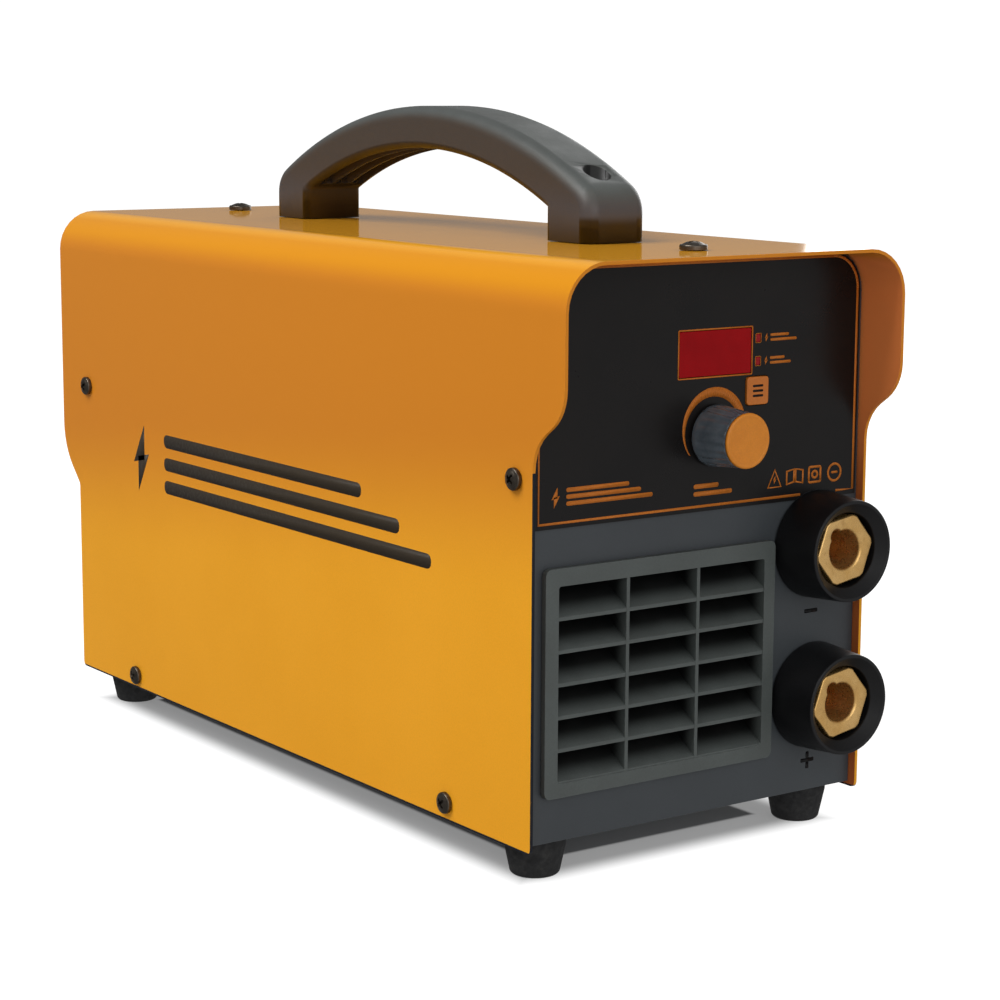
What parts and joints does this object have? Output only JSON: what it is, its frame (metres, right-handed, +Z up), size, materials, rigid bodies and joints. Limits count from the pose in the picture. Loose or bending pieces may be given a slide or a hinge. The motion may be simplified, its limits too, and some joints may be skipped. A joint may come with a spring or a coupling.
{
  "type": "stick welding inverter",
  "caption": "Portable stick welding inverter: folded sheet hood, control panel with knob, key and display, louvred air inlet, brass lead sockets and a bow handle.",
  "frame": {"origin": "on the floor under the middle of the case: centre of the bounding box's underside, at the feet", "axes": "+Z up, front panel faces -Y, +X is to the right of someone looking at the front"},
  "size_m": [0.1518, 0.3634, 0.2551],
  "materials": {
    "hood_paint": "semi-gloss orange-yellow powder coat",
    "panel_paint": "dark grey satin powder coat",
    "label_print": "black printed overlay, satin",
    "grille_plastic": "moulded grey-green plastic, fine texture",
    "handle_plastic": "moulded grey plastic, fine texture",
    "black_plastic": "moulded black plastic",
    "rubber": "black rubber",
    "display_red": "clear red acrylic",
    "key_orange": "orange plastic",
    "knob_smoke": "smoky blue-grey translucent plastic",
    "brass": "machined brass",
    "black_steel": "black oxide",
    "zinc_steel": "zinc plated",
    "galvanised": "galvanised sheet",
    "copper": "bare copper, lacquered winding",
    "aluminium": "extruded, mill finish",
    "board_green": "green solder mask",
    "component": "dark component bodies",
    "sleeve_blue": "blue heat-shrink sleeve"
  },
  "bodies": {
    "case": {"base_plate": "galvanised", "bus_bar_negative": "copper", "bus_bar_positive": "copper", "cable_gland": "black_plastic", "capacitor_left": "sleeve_blue", "capacitor_right": "sleeve_blue", "control_board": "board_green", "control_label": "label_print", "display_module": "component", "display_window": "display_red", "fan_frame": "black_plastic", "foot_front_left": "rubber", "foot_front_right": "rubber", "foot_rear_left": "rubber", "foot_rear_right": "rubber", "foot_screw_front_left": "zinc_steel", "foot_screw_front_right": "zinc_steel", "foot_screw_rear_left": "zinc_steel", "foot_screw_rear_right": "zinc_steel", "front_grille": "grille_plastic", "front_panel": "panel_paint", "gland_nut": "black_plastic", "handle": "handle_plastic", "handle_screw_front": "zinc_steel", "handle_screw_rear": "zinc_steel", "heat_sink_left": "aluminium", "heat_sink_right": "aluminium", "hood_cover": "hood_paint", "key_switch": "component", "main_board": "board_green", "mains_switch_body": "black_plastic", "mode_light_lower": "display_red", "mode_light_upper": "display_red", "output_choke": "copper", "potentiometer": "zinc_steel", "potentiometer_nut": "zinc_steel", "rear_panel": "panel_paint", "side_screw_left_front_low": "black_steel", "side_screw_left_front_mid": "black_steel", "side_screw_left_rear_low": "black_steel", "side_screw_left_rear_mid": "black_steel", "side_screw_right_front_low": "black_steel", "side_screw_right_front_mid": "black_steel", "side_screw_right_rear_low": "black_steel", "side_screw_right_rear_mid": "black_steel", "socket_brass_negative": "brass", "socket_brass_positive": "brass", "socket_collar_negative": "black_plastic", "socket_collar_positive": "black_plastic", "socket_nut_negative": "brass", "socket_nut_positive": "brass", "top_screw_front": "black_steel", "top_screw_rear": "black_steel", "transformer": "component"},
    "knob": {"knob_body": "knob_smoke", "knob_cap": "key_orange", "knob_shaft": "zinc_steel"},
    "key": {"function_key": "key_orange"},
    "rocker": {"mains_rocker": "black_plastic"},
    "fan": {"fan_impeller": "black_plastic"}
  },
  "joints": [
    {"name": "knob_turn", "type": "hinge", "parent": "case", "child": "knob", "pos_m": [0.0046, -0.17, 0.1463], "axis": [0, 1, 0], "range_deg": [-150, 150]},
    {"name": "key_press", "type": "slide", "parent": "case", "child": "key", "axis": [0, 1, 0], "range_m": [0, 0.0005], "stiffness_N_per_m": 400},
    {"name": "rocker_tilt", "type": "hinge", "parent": "case", "child": "rocker", "pos_m": [-0.038, 0.16495, 0.162], "axis": [1, 0, 0], "range_deg": [0, 20]},
    {"name": "fan_spin", "type": "hinge", "parent": "case", "child": "fan", "pos_m": [0, 0.1489, 0.08], "axis": [0, 1, 0], "continuous": true}
  ]
}
